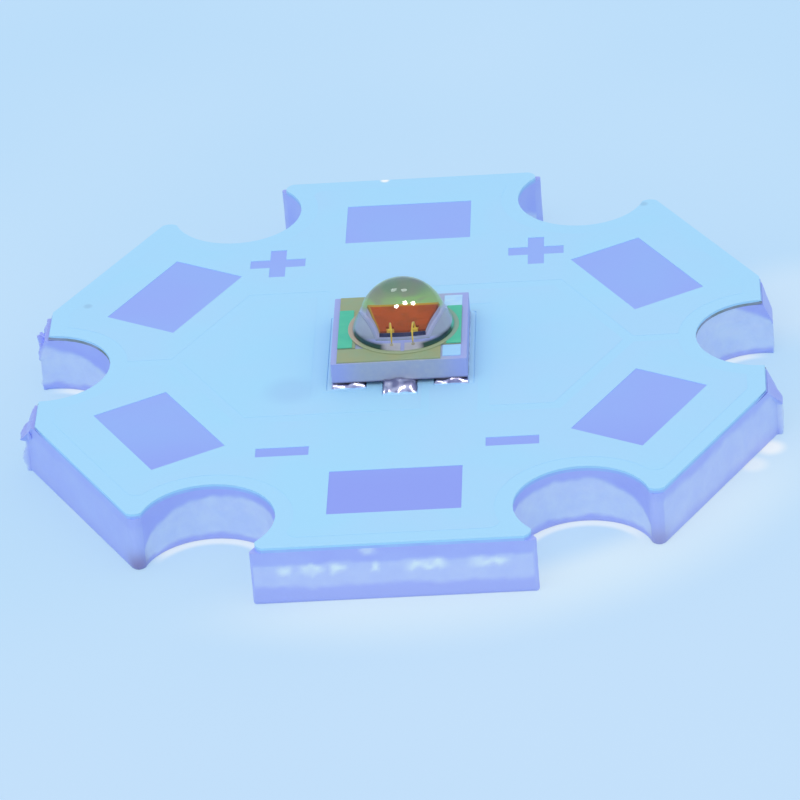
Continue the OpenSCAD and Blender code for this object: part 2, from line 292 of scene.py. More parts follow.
to_right = calc(tree, "SUBTRACT", times(tree, floor_x, 0.8), floor_y)
glow = times(tree, rise(tree, reach, 12.4 * MM, 9.6 * MM), rise(tree, reach, 8.4 * MM, 9.6 * MM),
             rise(tree, to_right, 4.5 * MM, 9 * MM), rise(tree, floor_y, 0.0, -6 * MM), 0.9)
table_tone = blend(tree, glow, table_tone, tone(216, 237, 252))
print("table: drift, warmth and glow")

# %% Painted light: pale patches in the notches and at the right
SIXTH = math.radians(60)
notch_reach = 9.2 * MM
bearing = calc(tree, "ARCTAN2", floor_y, floor_x)
nearest_corner = calc(tree, "SNAP", calc(tree, "ADD", bearing, SIXTH / 2), SIXTH)
folded = calc(tree, "SUBTRACT", bearing, nearest_corner)
notch_out = calc(tree, "SUBTRACT", times(tree, reach, calc(tree, "COSINE", folded)), notch_reach)
notch_aside = times(tree, reach, calc(tree, "SINE", folded))
sliver = times(tree, rise(tree, span(tree, notch_out, notch_aside), 1.4 * MM, 1.6 * MM),
               rise(tree, reach, 9.6 * MM, 8.8 * MM), 0.8)
table_tone = blend(tree, sliver, table_tone, tone(238, 247, 253))

pale_spots = [(Vector((10.2, 4.4, 0)) * MM, 3 * MM, 0.25),
              (Vector((9.25, -3.1, 0)) * MM, 0.5 * MM, 1.0),
              (Vector((8.8, -3.9, 0)) * MM, 0.5 * MM, 0.6)]
for centre, width, share in pale_spots:
    pale_share = times(tree, spot(tree, centre, width), share)
    table_tone = blend(tree, pale_share, table_tone, tone(240, 248, 254))
paint(tree, shader, table_tone)
print("pale spots:", len(pale_spots))

# %% [markdown]
# How the table is seen
#
# In the picture the board's shadow is faint. The table could be lit more, but that light would wash out the
# board. Instead its colour is partly a plain glow, for views from the camera, in mirrors and through glass.
# For the light that reaches the board, it is an ordinary table.

# %% Glow for direct, mirrored and transmitted views
glow_share = 0.7
paths = step(tree, "ShaderNodeLightPath").outputs
seen = calc(tree, "MAXIMUM", paths["Is Camera Ray"], paths["Is Glossy Ray"])
seen = calc(tree, "MAXIMUM", seen, paths["Is Transmission Ray"])
plain = step(tree, "ShaderNodeEmission", {"Color": table_tone, "Strength": 1.0})
both = step(tree, "ShaderNodeMixShader",
            {0: times(tree, seen, glow_share), 1: shader.outputs[0], 2: plain.outputs[0]})
tree.links.new(both.outputs[0], tree.nodes["Material Output"].inputs["Surface"])
floor_mesh.materials.append(floor_finish)
print("share of glow:", glow_share)

# %% [markdown]
# The light
#
# An even white sky gives almost all of the light, so that a colour renders about as it is written. In shiny
# things the sky shows as a blue room, deeper towards the horizon, which gives solder its dark and bright
# places. One large soft lamp from the front left gives the shapes a little direction.
#
# The dome mirrors small lamps: three bright ones over the front and two faint ones over the back. Strong
# lamps would also bleach the board, so these are hidden from diffuse and transmitted light and only make
# glints. Light linking keeps all but one of them to the dome, because solder needs fewer glints.

# %% Sky
sky_strength = 0.88
world = bpy.data.worlds.new("even_sky")
world.use_nodes = True
sky = world.node_tree
direction = step(sky, "ShaderNodeTexCoord").outputs["Generated"]
upward = step(sky, "ShaderNodeSeparateXYZ", {0: direction}).outputs[2]
room = ramp(sky, upward, (0.0, tone(140, 158, 226)), (0.5, tone(172, 192, 240)), (1.0, tone(214, 228, 252)))
mirrored = step(sky, "ShaderNodeLightPath").outputs["Is Glossy Ray"]
background = sky.nodes["Background"]
fill(sky, background.inputs["Color"], blend(sky, mirrored, (1, 1, 1, 1), room))
background.inputs["Strength"].default_value = sky_strength
scene.world = world
print("sky strength:", sky_strength)

# %% Lamps
def lamp(name, across, height, distance, width, power):
    """A round lamp that faces the board: degrees to the right of the front, and degrees above the table."""
    light = bpy.data.lights.new(name, "AREA")
    light.shape = "DISK"
    light.size = width
    light.energy = power
    made = bpy.data.objects.new(name, light)
    way = toward(math.radians(across), math.radians(height))
    turned_in = way.to_track_quat("Z", "Y").to_matrix().to_4x4()
    made.matrix_world = Matrix.Translation(way * distance) @ turned_in
    scene.collection.objects.link(made)
    return made


soft_lamp = lamp("soft_lamp", -35, 60, 420 * MM, 300 * MM, 0.28)
soft_lamp.visible_glossy = False
bright_power = 0.38
faint_power = 0.06
solder_glint = (29, 72)
glints = {(-27, 64): bright_power, solder_glint: bright_power, (68, 59): bright_power,
          (-152, 58): faint_power, (169, 65): faint_power}
dome_light = bpy.data.collections.new("dome_light")
for (across, height), power in glints.items():
    glint = lamp("glint_lamp_%d" % across, across, height, 300 * MM, 60 * MM, power)
    glint.visible_diffuse = False
    glint.visible_transmission = False
    if (across, height) != solder_glint:
        glint.light_linking.receiver_collection = dome_light
print("lamps:", 1 + len(glints))

# %% [markdown]
# Solder mask
#
# The mask is a thin pale lacquer. Over copper it lies a hair higher than over the gaps between the copper
# areas. Those areas could be drawn again as a pattern, but the height already tells the two apart: a step on
# the Z coordinate gives the gaps a slightly other tone. Soft patches keep the large flat top from looking
# like plastic, and a fine orange-peel bump breaks its shine. A smudge and three dark nicks are soft spots at
# points of the part, and one white spot on its back edge is a painted glint.

# %% Mask finish
mask_finish, tree, shader = finish("mask_lacquer", 0.5, Specular_IOR_Level=0.3)
over_copper = calc(tree, "GREATER_THAN", axes(tree)[2], board_top.z - 0.002 * MM)
clouds = ramp(tree, patches(tree, 3.5 * MM, 2.0), (0.35, tone(163, 220, 254)), (0.65, tone(168, 217, 253)))
mask_tone = blend(tree, over_copper, tone(165, 219, 254), clouds)
nick_tone = tone(110, 140, 180)
mask_marks = [(-2.8, -1.8, 0.9, 0.25, tone(140, 180, 235)),
              (-5.6, 6.8, 0.16, 0.25, nick_tone),
              (6.25, 7.3, 0.16, 0.25, nick_tone),
              (-8.3, 3.2, 0.16, 0.25, nick_tone),
              # painted glint on the mask's back edge
              (-0.7, 9.42, 0.16, 1.0, tone(250, 253, 255))]
for x, y, width, share, colour in mask_marks:
    centre = board_top + Vector((x, y, 0)) * MM
    mask_tone = blend(tree, times(tree, spot(tree, centre, width * MM), share), mask_tone, colour)
paint(tree, shader, mask_tone)
grain(tree, shader, 0.25 * MM, 0.004 * MM)
wear("solder_mask", mask_finish)
print("finish:", mask_finish.name, "marks:", len(mask_marks))

# %% [markdown]
# Blunt corners
#
# A punch can't cut a perfectly sharp corner: the eight corners beside the notches are blunt. The layers
# could be modelled again with rounded outlines, but in these flat pieces the corners are the only edges
# where the wall turns by more than a right angle, so a Bevel modifier finds them by their angle alone. It
# needs whole faces, so points are joined and triangles dissolved first.

# %% Bevel for the layers' corners
corner_cut = 0.36 * MM


def weld(name):
    """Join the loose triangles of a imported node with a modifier."""
    joined = nodes[name].modifiers.new("weld", "WELD")
    joined.merge_threshold = 0.0001 * MM


def soften(name, label, width, sharpest):
    """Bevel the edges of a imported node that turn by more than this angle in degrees."""
    bevel = nodes[name].modifiers.new(label, "BEVEL")
    bevel.width = width
    bevel.segments = 3
    bevel.limit_method = "ANGLE"
    bevel.angle_limit = math.radians(sharpest)
    return bevel


for name in ("solder_mask", "dielectric_layer"):
    weld(name)
    whole = nodes[name].modifiers.new("whole_faces", "DECIMATE")
    whole.decimate_type = "DISSOLVE"
    whole.angle_limit = math.radians(0.2)
    corner = soften(name, "corner", corner_cut, 105)
    corner.use_clamp_overlap = False
    corner.profile = 0.35
print("corner cut in mm:", round(corner_cut / MM, 2))

# %% [markdown]
# Tinned pads and marks
#
# Wire pads, plus marks and minus marks are bare copper that was dipped in molten tin. Tin levels itself into
# a soft, slightly wavy sheet, so its tone drifts across a pad, and the front pad leans towards violet. They
# are flat plates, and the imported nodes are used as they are: the waves are too low for anything but bump.

# %% Tin finish
tin_finish, tree, shader = finish("tin", 0.42, 0.25)
drift = ramp(tree, patches(tree, 2.2 * MM, 1.5), (0.3, tone(159, 191, 255)), (0.7, tone(161, 185, 255)))
at_front = rise(tree, axes(tree)[1], -3 * MM, -7 * MM)
paint(tree, shader, blend(tree, at_front, drift, tone(154, 172, 252)))
grain(tree, shader, 0.6 * MM, 0.006 * MM)
tinned = [name for name in nodes if "_pad_" in name or name in ("plus_marks", "minus_marks")]
for name in tinned:
    wear(name, tin_finish)
print("tinned:", len(tinned))

# %% [markdown]
# The board's outline
#
# The core is aluminium sheet, punched out of a panel and snapped off at its left and right. A punch leaves a
# smooth band at the top of the wall and a torn, paler zone below it, and a snapped side is rough. That could
# be painted on, but the torn metal should also show in the outline, so the wall is built as a mesh: the
# star's outline is walked in small steps, repeated at many heights, and each point is pushed in or out.
#
# The outline first. Six straight edges join six corners. Four corners are punched: a notch whose sides run
# straight at its mouth, and a blunt tip on each side. At the left and right corners the notch opens into a
# snapped side instead, which slopes outwards below the top and then drops as a torn web.

# %% Points of the outline
core_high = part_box("aluminium_base")[1]
flat_reach = core_high.y
snapped_reach = core_high.x
score_run = 0.3 * MM
score_depth = 0.7 * MM
notch_radius = 1.7 * MM
mouth_half = 1.66 * MM
small_cut = 0.12 * MM
notch_steps = 100
tip_steps = 8
mouth_steps = 2
flat_steps = 110
snapped_steps = 26


def heading(angle):
    """The direction at this angle from the right."""
    return Vector((math.cos(angle), math.sin(angle)))


def straight(start, end, count):
    """Points from start towards end, without the end."""
    return [start.lerp(end, index / count) for index in range(count)]


def curved(start, pull, end, share):
    """The point at this share of a curve that leaves start towards pull and arrives at end from there."""
    return start * (1 - share) ** 2 + pull * 2 * share * (1 - share) + end * share ** 2


def blunt_tip(start, corner, end):
    """Points of a blunt corner from start towards end, without the end."""
    pull = corner.lerp((start + end) / 2, 0.4)
    return [curved(start, pull, end, index / tip_steps) for index in range(tip_steps)]


def notch_arc(along, across, spread):
    """Points of a notch from one side of its mouth to the other, over this angle each way."""
    angles = [spread * (2 * index / notch_steps - 1) for index in range(notch_steps + 1)]
    return [along * (notch_reach - notch_radius * math.cos(angle)) + across * notch_radius * math.sin(angle)
            for angle in angles]


print("notch radius in mm:", round(notch_radius / MM, 2))

# %% Runs of the outline
def side_reach(z):
    """How far the snapped sides lie from the middle at this height: a slope, then the torn web."""
    drop = (board_top.z - z) / score_depth
    return snapped_reach - score_run + score_run * min(1.0, drop)


def snapped_corner(along, across, side):
    """Runs of points at a corner that is snapped off this far out, and its first and last point."""
    half = (flat_reach - side * math.cos(SIXTH / 2)) / math.sin(SIXTH / 2)
    first, last = along * side - across * half, along * side + across * half
    arc = notch_arc(along, across, math.acos((notch_reach - side) / notch_radius))
    runs = [("snapped", straight(first, arc[0], snapped_steps)),
            ("notch", arc[:-1]),
            ("snapped", straight(arc[-1], last, snapped_steps))]
    return runs, first, last


def punched_corner(along, across, edge_before, edge_after):
    """Runs of points at a punched corner between two edges, and its first and last point."""
    reach = (flat_reach - mouth_half * math.sin(SIXTH / 2)) / math.cos(SIXTH / 2)
    tips = [along * reach - across * mouth_half, along * reach + across * mouth_half]
    cuts = [small_cut if abs(tip.y) > flat_reach - small_cut else corner_cut for tip in tips]
    first, last = tips[0] - edge_before * cuts[0], tips[1] + edge_after * cuts[1]
    inner = [tip - along * cut for tip, cut in zip(tips, cuts)]
    arc = notch_arc(along, across, math.pi - math.asin(mouth_half / notch_radius))
    runs = [("mouth", blunt_tip(first, tips[0], inner[0])),
            ("mouth", straight(inner[0], arc[0], mouth_steps)),
            ("notch", arc[:-1]),
            ("mouth", straight(arc[-1], inner[1], mouth_steps)),
            ("mouth", blunt_tip(inner[1], tips[1], last))]
    return runs, first, last


def outline(z):
    """All runs of the star at one height, anticlockwise: each has its kind, its corner and its points."""
    corners = []
    for corner in range(6):
        along, across = heading(SIXTH * corner), heading(SIXTH * corner + math.pi / 2)
        if corner % 3 == 0:
            corners.append(snapped_corner(along, across, side_reach(z)))
        else:
            edges = heading(SIXTH * (corner + 1)), heading(SIXTH * (corner + 2))
            corners.append(punched_corner(along, across, *edges))
    runs = []
    for corner, (corner_runs, _, last) in enumerate(corners):
        next_first = corners[(corner + 1) % 6][1]
        runs += [(kind, corner, points) for kind, points in corner_runs]
        runs.append(("flat", corner, straight(last, next_first, flat_steps)))
    return runs


print("outline points:", sum(len(points) for _, _, points in outline(0)))

# %% [markdown]
# The wall's relief
#
# Every point of the wall knows which run it belongs to and where along it, and noise tells the rest. A
# texture could displace the wall, but it wouldn't know a notch from an edge. Here the torn zone is an arch
# in a notch, a band along a straight edge, and everything below the score line on a snapped side. The right
# notch is torn almost to its top, and in the left one the torn zone falls from its outer end. What the
# relief means is kept in three attributes that the finish reads: one for torn metal, one for painted shade at
# two bottom corners at the front, and one for painted glints: bars on the front edge and one spot above them.

# %% Where the wall is torn
RIGHT_CORNER = 0
LEFT_CORNER = 3
FRONT_EDGE = 4
# Edges 3 and 5 (left-front and right-front) get a tear of their own: besides torn metal, it sets how pale those
# walls look, as painted light and shade.
edge_tear_and_light = {3: 0.15, 5: 0.55}
other_edge_tear = 0.3
mouth_tear = 0.15


def smooth(low, high, value):
    """0 below low, 1 above high, and a soft rise between them."""
    share = min(1.0, max(0.0, (value - low) / (high - low)))
    return share * share * (3 - 2 * share)


def band(value, low, low_full, high_full, high):
    """1 from low_full to high_full, and 0 below low and above high."""
    return smooth(low, low_full, value) * (1 - smooth(high_full, high, value))


def rough(point, size, seed):
    """Wandering value from -1 to 1 with features of this size."""
    return noise.noise(point / size + Vector((seed, seed * 1.7, seed * 0.6)))


def tear_top(corner, share):
    """Upper end of a notch's torn zone in millimetres, at this share of the way round the notch."""
    if corner == LEFT_CORNER:
        return 1.3 - 1.5 * share
    arch = 0.5 + 0.75 * (1 - abs(2 * share - 1) ** 3)
    return arch + 0.5 if corner == RIGHT_CORNER else arch


def torn_share(kind, corner, share, point):
    """How torn the wall is at a point: an arch in each notch, a band along each straight edge."""
    waver = 0.10 * rough(point, 0.8 * MM, 3) + 0.05 * rough(point, 0.25 * MM, 5)
    z = point.z / MM
    if kind == "notch":
        top = tear_top(corner, share)
        return band(z + waver, 0.12, 0.24, top - 0.1, top + 0.08)
    if kind == "snapped":
        return 1 - smooth(0.86, 0.92, z + 0.5 * waver)
    if kind == "flat" and corner == FRONT_EDGE:
        return 0.6 * band(z + waver, 0.36, 0.52, 1.02, 1.16)
    tear = edge_tear_and_light.get(corner, other_edge_tear) if kind == "flat" else mouth_tear
    return tear * band(z + waver, 0.05, 0.4, 1.1, 1.35)


print("edges with a tear of their own:", sorted(edge_tear_and_light))

# %% Painted shade at two corners and painted glints on the front edge
# Painted shade low on the wall at the two front corners, with its strength.
corner_shade_spots = [(Vector((-6.4, -7.6, 0.1)) * MM, 0.75), (Vector((6.4, -7.6, 0.1)) * MM, 0.45)]
corner_shade_width = 0.36 * MM
glint_bars = [(-2.65, 0.16), (-2.05, 0.3), (-1.4, 0.2), (-0.45, 0.1), (0.8, 0.5), (2.3, 0.42)]
glint_z = 0.92
glint_spot_x, glint_spot_z = -0.62, 1.4


def corner_shade_share(point):
    """How much painted shade the wall has at a point, low at the two front corners."""
    return max(strength * math.exp(-((point - middle).length / corner_shade_width) ** 2)
               for middle, strength in corner_shade_spots)


def glint_share(kind, corner, point):
    """How much painted glint the front edge has at a point: a few bars at one height, and one spot above them.
    """
    if kind != "flat" or corner != FRONT_EDGE:
        return 0.0
    x, z = point.x / MM, point.z / MM
    waver = 0.09 * rough(point, 0.3 * MM, 11) + 0.06 * rough(point, 0.12 * MM, 12)
    tall = 1 - smooth(0.02, 0.2, abs(z - glint_z + waver))
    along = max(1 - smooth(half * 0.4, half * 1.4, abs(x - middle + waver)) for middle, half in glint_bars)
    above = math.hypot(x - glint_spot_x, 1.5 * (z - glint_spot_z)) + waver
    glint_spot = 0.5 * (1 - smooth(0.05, 0.3, above))
    return max(glint_spot, tall * along * (0.75 + 0.5 * rough(point, 0.25 * MM, 15)))


print("bright bars:", len(glint_bars), "stains:", len(corner_shade_spots))

# %% How far the wall stands out
web_lip = 0.13
left_ragged, right_ragged = 1.6, 0.6


def push_out(kind, corner, torn, point):
    """How far a point of the wall stands out, in mm: a rounded lower rim, torn grain, ragged sides."""
    z = point.z / MM
    push = -0.05 * max(0.0, 1 - z / 0.08) ** 2
    push += -0.02 * torn + (0.004 + 0.014 * torn) * rough(point, 0.22 * MM, 1)
    if kind == "snapped":
        ragged = left_ragged if corner == LEFT_CORNER else right_ragged
        push += ragged * torn * (0.05 * rough(point, 0.3 * MM, 7) + 0.03 * rough(point, 0.12 * MM, 9))
        push += web_lip * smooth(1.7, 2.2, -point.y / MM) * (1 - smooth(0.9, 1.4, z))
        if corner == LEFT_CORNER:
            push += (1 - torn) * 0.09 * (rough(point, 0.2 * MM, 13) + 0.8)
    return push


print("lip of the torn webs in mm:", web_lip)

# %% [markdown]
# Turning, drawing and scattering
#
# Three shapes here follow a rule. The dome is a profile turned around its axis, each bond wire is a round
# section drawn along a path, and burrs are flakes scattered along an edge. Loops over points could make
# them, but as Geometry Nodes trees one rule makes every such piece: the object's own mesh holds only the
# profile, path or edge, and the tree's inputs hold the sizes.

# %% Start and end of a tree
def new_tree(name, *sizes):
    """A tree that takes a line of points, named sizes and a material, and gives a mesh."""
    tree = bpy.data.node_groups.new(name, "GeometryNodeTree")
    tree.interface.new_socket("Line", in_out="INPUT", socket_type="NodeSocketGeometry")
    for label, kind in sizes:
        tree.interface.new_socket(label, in_out="INPUT", socket_type=kind)
    tree.interface.new_socket("Finish", in_out="INPUT", socket_type="NodeSocketMaterial")
    tree.interface.new_socket("Mesh", in_out="OUTPUT", socket_type="NodeSocketGeometry")
    return tree, tree.nodes.new("NodeGroupInput").outputs


def close_tree(tree, shape, source):
    """End a tree: real geometry, smooth faces and the finish."""
    real = step(tree, "GeometryNodeRealizeInstances", {0: shape})
    rounded = step(tree, "GeometryNodeSetShadeSmooth", {0: real.outputs[0]})
    painted = step(tree, "GeometryNodeSetMaterial", {0: rounded.outputs[0], "Material": source["Finish"]})
    step(tree, "NodeGroupOutput", {0: painted.outputs[0]})


WHOLE = "NodeSocketInt"
SIZE = "NodeSocketFloat"
print("tree helpers ready")

# %% A lathe in Geometry Nodes
lathe, source = new_tree("lathe", ("Profile points", WHOLE), ("Steps around", WHOLE))
columns = calc(lathe, "ADD", source["Steps around"], 1.0)
sheet = step(lathe, "GeometryNodeMeshGrid", {"Vertices X": columns, "Vertices Y": source["Profile points"]})
number = step(lathe, "GeometryNodeInputIndex").outputs[0]
row = calc(lathe, "MODULO", number, source["Profile points"])
column = calc(lathe, "FLOOR", calc(lathe, "DIVIDE", number, source["Profile points"]))
swing = times(lathe, calc(lathe, "DIVIDE", column, source["Steps around"]), math.tau)
taken = step(lathe, "GeometryNodeSampleIndex", {"Geometry": source["Line"], "Index": row},
             data_type="FLOAT_VECTOR", domain="POINT")
lathe.links.new(step(lathe, "GeometryNodeInputPosition").outputs[0], taken.inputs["Value"])
swung = step(lathe, "ShaderNodeVectorRotate", {"Vector": taken.outputs["Value"], "Angle": swing},
             rotation_type="Z_AXIS")
moved = step(lathe, "GeometryNodeSetPosition", {0: sheet.outputs[0], "Position": swung.outputs[0]})
closed = step(lathe, "GeometryNodeMergeByDistance", {0: moved.outputs[0], "Distance": 0.0001 * MM})
close_tree(lathe, closed.outputs[0], source)
print("lathe nodes:", len(lathe.nodes))

# %% A wire drawer in Geometry Nodes
drawer, source = new_tree("wire_drawer", ("Wire radius", SIZE), ("Ball radius", SIZE), ("Ball height", SIZE))
path = step(drawer, "GeometryNodeMeshToCurve", {0: source["Line"]})
section = step(drawer, "GeometryNodeCurvePrimitiveCircle",
               {"Resolution": 14, "Radius": source["Wire radius"]})
wire = step(drawer, "GeometryNodeCurveToMesh",
            {"Curve": path.outputs[0], "Profile Curve": section.outputs[0], "Fill Caps": True})
ball = step(drawer, "GeometryNodeMeshUVSphere",
            {"Segments": 20, "Rings": 12, "Radius": source["Ball radius"]})
flatness = calc(drawer, "DIVIDE", source["Ball height"], source["Ball radius"])
squat = step(drawer, "ShaderNodeCombineXYZ", {0: 1.0, 1: 1.0, 2: flatness})
pressed = step(drawer, "GeometryNodeTransform", {0: ball.outputs[0], "Scale": squat.outputs[0]})
ends = step(drawer, "GeometryNodeCurveEndpointSelection")
balls = step(drawer, "GeometryNodeInstanceOnPoints",
             {"Points": path.outputs[0], "Selection": ends.outputs[0], "Instance": pressed.outputs[0]})
both = step(drawer, "GeometryNodeJoinGeometry", {0: wire.outputs[0]})
drawer.links.new(balls.outputs[0], both.inputs[0])
close_tree(drawer, both.outputs[0], source)
print("wire drawer nodes:", len(drawer.nodes))

# %% A row of burrs in Geometry Nodes
burrs, source = new_tree("burr_row", ("Count", WHOLE), ("Flake size", SIZE), ("Seed", WHOLE))
path = step(burrs, "GeometryNodeMeshToCurve", {0: source["Line"]})
spread = step(burrs, "GeometryNodeResampleCurve", {0: path.outputs[0], "Count": source["Count"]})
foot = times(burrs, source["Flake size"], 0.38)
tip = times(burrs, source["Flake size"], 0.12)
flake = step(burrs, "GeometryNodeMeshCone",
             {"Vertices": 7, "Radius Bottom": foot, "Radius Top": tip, "Depth": source["Flake size"]})
least_tilt = Vector((-0.5, -0.5, -1.5))
most_tilt = Vector((0.5, 0.15, 1.5))
tilt = step(burrs, "FunctionNodeRandomValue", {0: least_tilt, 1: most_tilt, "Seed": source["Seed"]},
            data_type="FLOAT_VECTOR")
growth = step(burrs, "FunctionNodeRandomValue", {2: 0.45, 3: 1.25, "Seed": source["Seed"]},
              data_type="FLOAT")
flakes = step(burrs, "GeometryNodeInstanceOnPoints",
              {"Points": spread.outputs[0], "Instance": flake.outputs[0], "Rotation": tilt.outputs[0],
               "Scale": growth.outputs[1]})
close_tree(burrs, flakes.outputs[0], source)
print("burr row nodes:", len(burrs.nodes))

# %% [markdown]
# From tree to plain mesh
#
# A tree could stay on its object as a live modifier, but the finished part is a set of plain meshes. So the
# line goes into a temporary object, its modifier gets the tree and the sizes, and the evaluated shape
# becomes the piece's mesh. A finished piece rides on the part's only body and stands for the imported node
# that it replaces.

# %% Run a tree
def shaped(tree, line, **sizes):
    """The plain mesh that a tree makes from a line of points."""
    data = bpy.data.meshes.new("line")
    data.from_pydata(line, [(index, index + 1) for index in range(len(line) - 1)], [])
    holder = bpy.data.objects.new("line", data)
    scene.collection.objects.link(holder)
    modifier = holder.modifiers.new("shape", "NODES")
    modifier.node_group = tree
    wanted = {label.replace("_", " "): value for label, value in sizes.items()}
    for item in tree.interface.items_tree:
        if item.in_out == "INPUT" and item.name in wanted:
            modifier[item.identifier] = wanted[item.name]
    evaluated = holder.evaluated_get(bpy.context.evaluated_depsgraph_get())
    made = bpy.data.meshes.new_from_object(evaluated)
    holder.modifiers.remove(modifier)
    bpy.data.objects.remove(holder)
    return made


print("trees:", [tree.name for tree in bpy.data.node_groups])

# %% Hand a piece over
def face_outwards(data):
    """Turn the faces of a closed mesh so that they look outwards."""
    mesh = bmesh.new()
    mesh.from_mesh(data)
    bmesh.ops.recalc_face_normals(mesh, faces=mesh.faces)
    mesh.to_mesh(data)
    mesh.free()


def hand_over(name, data, material, replaced):
    """Put a finished mesh on the part's body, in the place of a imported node."""
    data.materials.clear()
    data.materials.append(material)
    made = bpy.data.objects.new(name, data)
    scene.collection.objects.link(made)
    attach(made, "root")
    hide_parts(replaced)
    return made


def new_piece(name, mesh, material, replaced):
    """Turn a bmesh into a finished piece of the part."""
    data = bpy.data.meshes.new(name)
    mesh.normal_update()
    mesh.to_mesh(data)
    mesh.free()
    for polygon in data.polygons:
        polygon.use_smooth = True
    data.set_sharp_from_angle(angle=math.radians(35))
    return hand_over(name, data, material, replaced)


# %% [markdown]
# Finish of the core
#
# Bare aluminium mirrors the table, so its walls look blue. It could be a pure mirror metal, but punched
# metal is dull, so the table's blue is painted into its tone as a painted reflection. The smooth bands above
# and below are a little deeper in tone than the torn zone between them, the painted glints on the front edge
# are almost white, and two bottom corners at the front get a brownish painted shade. All of it follows the
# attributes of the wall.

# %% Aluminium finish
core_finish, tree, shader = finish("punched_aluminium", 0.45, 0.35)
torn_value, corner_shade_value, glint_value = (
    step(tree, "ShaderNodeAttribute", attribute_name=label).outputs["Fac"]
    for label in ("torn", "corner_shade", "bright"))
# The wall tones carry the table's blue as a painted reflection.
band_tone = ramp(tree, patches(tree, 0.9 * MM), (0.35, tone(176, 188, 252)), (0.65, tone(180, 194, 253)))
low_band = rise(tree, axes(tree)[2], 0.55 * MM, 0.25 * MM)
band_tone = blend(tree, low_band, band_tone, tone(178, 190, 250))
torn_tone = ramp(tree, patches(tree, 0.5 * MM), (0.35, tone(206, 222, 254)), (0.65, tone(214, 230, 254)))
wall_tone = blend(tree, torn_value, band_tone, torn_tone)
# painted glints on the front edge, almost white
wall_tone = blend(tree, glint_value, wall_tone, tone(236, 252, 255))
# painted shade at the feet of the two front corners
paint(tree, shader, blend(tree, corner_shade_value, wall_tone, tone(134, 118, 160)))
grain(tree, shader, 0.08 * MM, 0.006 * MM)
print("finish:", core_finish.name)

# %% [markdown]
# The board's core
#
# Now the wall: one ring of points per height, joined by faces, with triangles closing its top and bottom.
# The lowest rings lie close together, because the lower rim is rounded. The left side also gets two rows of
# burrs along its score line, as one mesh with the rest.

# %% Wall of the core
core_heights = [0, 0.015, 0.04, 0.08] + [0.14 + 0.06 * index for index in range(22)] + [1.46]
core_mesh = bmesh.new()
torn_layer = core_mesh.verts.layers.float.new("torn")
corner_shade_layer = core_mesh.verts.layers.float.new("corner_shade")
glint_layer = core_mesh.verts.layers.float.new("bright")


def wall_ring(z):
    """Add one ring of the wall at this height, with its attributes, and give its points."""
    walked = [(kind, corner, index / len(points), point)
              for kind, corner, points in outline(z) for index, point in enumerate(points)]
    ring = []
    for index, (kind, corner, share, flat) in enumerate(walked):
        before, after = walked[index - 1][3], walked[(index + 1) % len(walked)][3]
        outward = Vector((after.y - before.y, before.x - after.x, 0)).normalized()
        point = Vector((*flat, z))
        torn = torn_share(kind, corner, share, point)
        vertex = core_mesh.verts.new(point + outward * push_out(kind, corner, torn, point) * MM)
        vertex[torn_layer] = torn
        vertex[corner_shade_layer] = corner_shade_share(point)
        vertex[glint_layer] = glint_share(kind, corner, point)
        ring.append(vertex)
    return ring


rings = [wall_ring(height * MM) for height in core_heights]
for lower, upper in zip(rings, rings[1:]):
    for index in range(len(lower)):
        after = (index + 1) % len(lower)
        core_mesh.faces.new((lower[index], lower[after], upper[after], upper[index]))
print("rings:", len(rings), "points in each:", len(rings[0]))

# %% Caps and burrs of the core
for ring in (rings[0], rings[-1]):
    rim = [core_mesh.edges.get((ring[index - 1], ring[index])) for index in range(len(ring))]
    bmesh.ops.triangle_fill(core_mesh, use_beauty=True, edges=rim)

score_z = 1.1 * MM
burr_x = -side_reach(score_z) + 0.02 * MM
burr_count = 7
burr_edges = [(-2.65 * MM, -1.8 * MM, 0.2 * MM, 4), (1.8 * MM, 2.65 * MM, 0.3 * MM, 9)]
for start, end, flake_size, seed in burr_edges:
    edge = [Vector((burr_x, start, score_z)), Vector((burr_x, end, score_z))]
    core_mesh.from_mesh(shaped(burrs, edge, Count=burr_count, Flake_size=flake_size, Seed=seed,
                               Finish=core_finish))
bmesh.ops.recalc_face_normals(core_mesh, faces=core_mesh.faces)
core = new_piece("core", core_mesh, core_finish, "aluminium_base")
print("core triangles:", sum(len(face.vertices) - 2 for face in core.data.polygons))

# %% [markdown]
# Layers at the board's edge
#
# Under the mask lies a grey-green insulating layer. Only its edge can be seen, as a thin line on top of the
# wall, darkest in the notches at the left and right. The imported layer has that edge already, so the line
# only needs a finish that changes by place. Copper is hidden, and gets a plain metal finish.

# %% Insulating layer and copper
layer_finish, tree, shader = finish("insulating_layer", 0.6)
layer_x, layer_y = axes(tree)[:2]
far_out = calc(tree, "GREATER_THAN", calc(tree, "ABSOLUTE", layer_x), 7.2 * MM)
near_axis = calc(tree, "LESS_THAN", calc(tree, "ABSOLUTE", layer_y), 1.75 * MM)
dark_line = ramp(tree, patches(tree, 0.5 * MM), (0.35, tone(118, 138, 132)), (0.6, tone(146, 160, 190)))
edge_tone = ramp(tree, patches(tree, 0.6 * MM), (0.35, tone(156, 190, 250)), (0.65, tone(160, 200, 252)))
paint(tree, shader, blend(tree, times(tree, far_out, near_axis), edge_tone, dark_line))
wear("dielectric_layer", layer_finish)

copper_finish = mottled("copper", 0.4, 1.0, 1 * MM, tone(190, 116, 88), tone(214, 146, 112))
for name in ("positive_copper", "negative_copper", "thermal_copper"):
    wear(name, copper_finish)
print("finish:", layer_finish.name, copper_finish.name)

# %% [markdown]
# The ceramic
#
# The LED's body is a small square of grey ceramic. Towards its left and right ends it is painted bluer, a
# painted reflection of the mask, and along its lower edge it is painted darkest, as painted shade. A cast edge
# is never sharp. The block could be built again with rounded edges, but a small Bevel modifier on the
# imported node does the same. Under the dome it is painted paler, as painted light.

